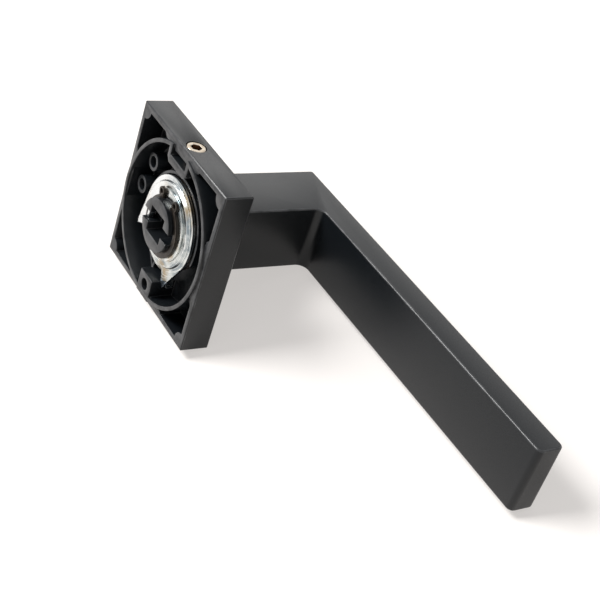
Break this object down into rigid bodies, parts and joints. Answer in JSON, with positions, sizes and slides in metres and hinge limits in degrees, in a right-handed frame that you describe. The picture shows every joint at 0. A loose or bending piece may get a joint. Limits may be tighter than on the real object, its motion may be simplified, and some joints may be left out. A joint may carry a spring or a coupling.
{
  "type": "door lever handle",
  "caption": "Right-angled flat bar lever on a square sprung rose, with its retaining ring, cam plate and return spring.",
  "frame": {"origin": "the lever's turning axis where it crosses the plane of the rose's rim", "axes": "+Y towards the door along the turning axis, +Z towards the rose's fixing screw, and the grip points along -X"},
  "size_m": [0.144, 0.0573, 0.052],
  "materials": {
    "black_coated_zinc": "matte",
    "zinc_plated_steel": "satin",
    "black_spring_steel": "oiled",
    "screw_steel": "satin",
    "black_nylon": "matte"
  },
  "bodies": {
    "rose_body": {"rose": "black_coated_zinc", "rose_grub_screw": "screw_steel", "bearing_bush": "black_nylon", "thrust_washer": "black_nylon", "return_spring": "black_spring_steel"},
    "lever_body": {"lever": "black_coated_zinc", "cam_plate": "zinc_plated_steel", "retaining_washer": "zinc_plated_steel", "circlip": "black_spring_steel"}
  },
  "joints": [
    {"name": "lever_turn", "type": "hinge", "parent": "rose_body", "child": "lever_body", "pos_m": [0, 0, 0], "axis": [0, 1, 0], "range_deg": [0, 45], "stiffness_Nm_per_rad": 2, "springref_deg": -14.9, "deforming": ["return_spring"]}
  ]
}
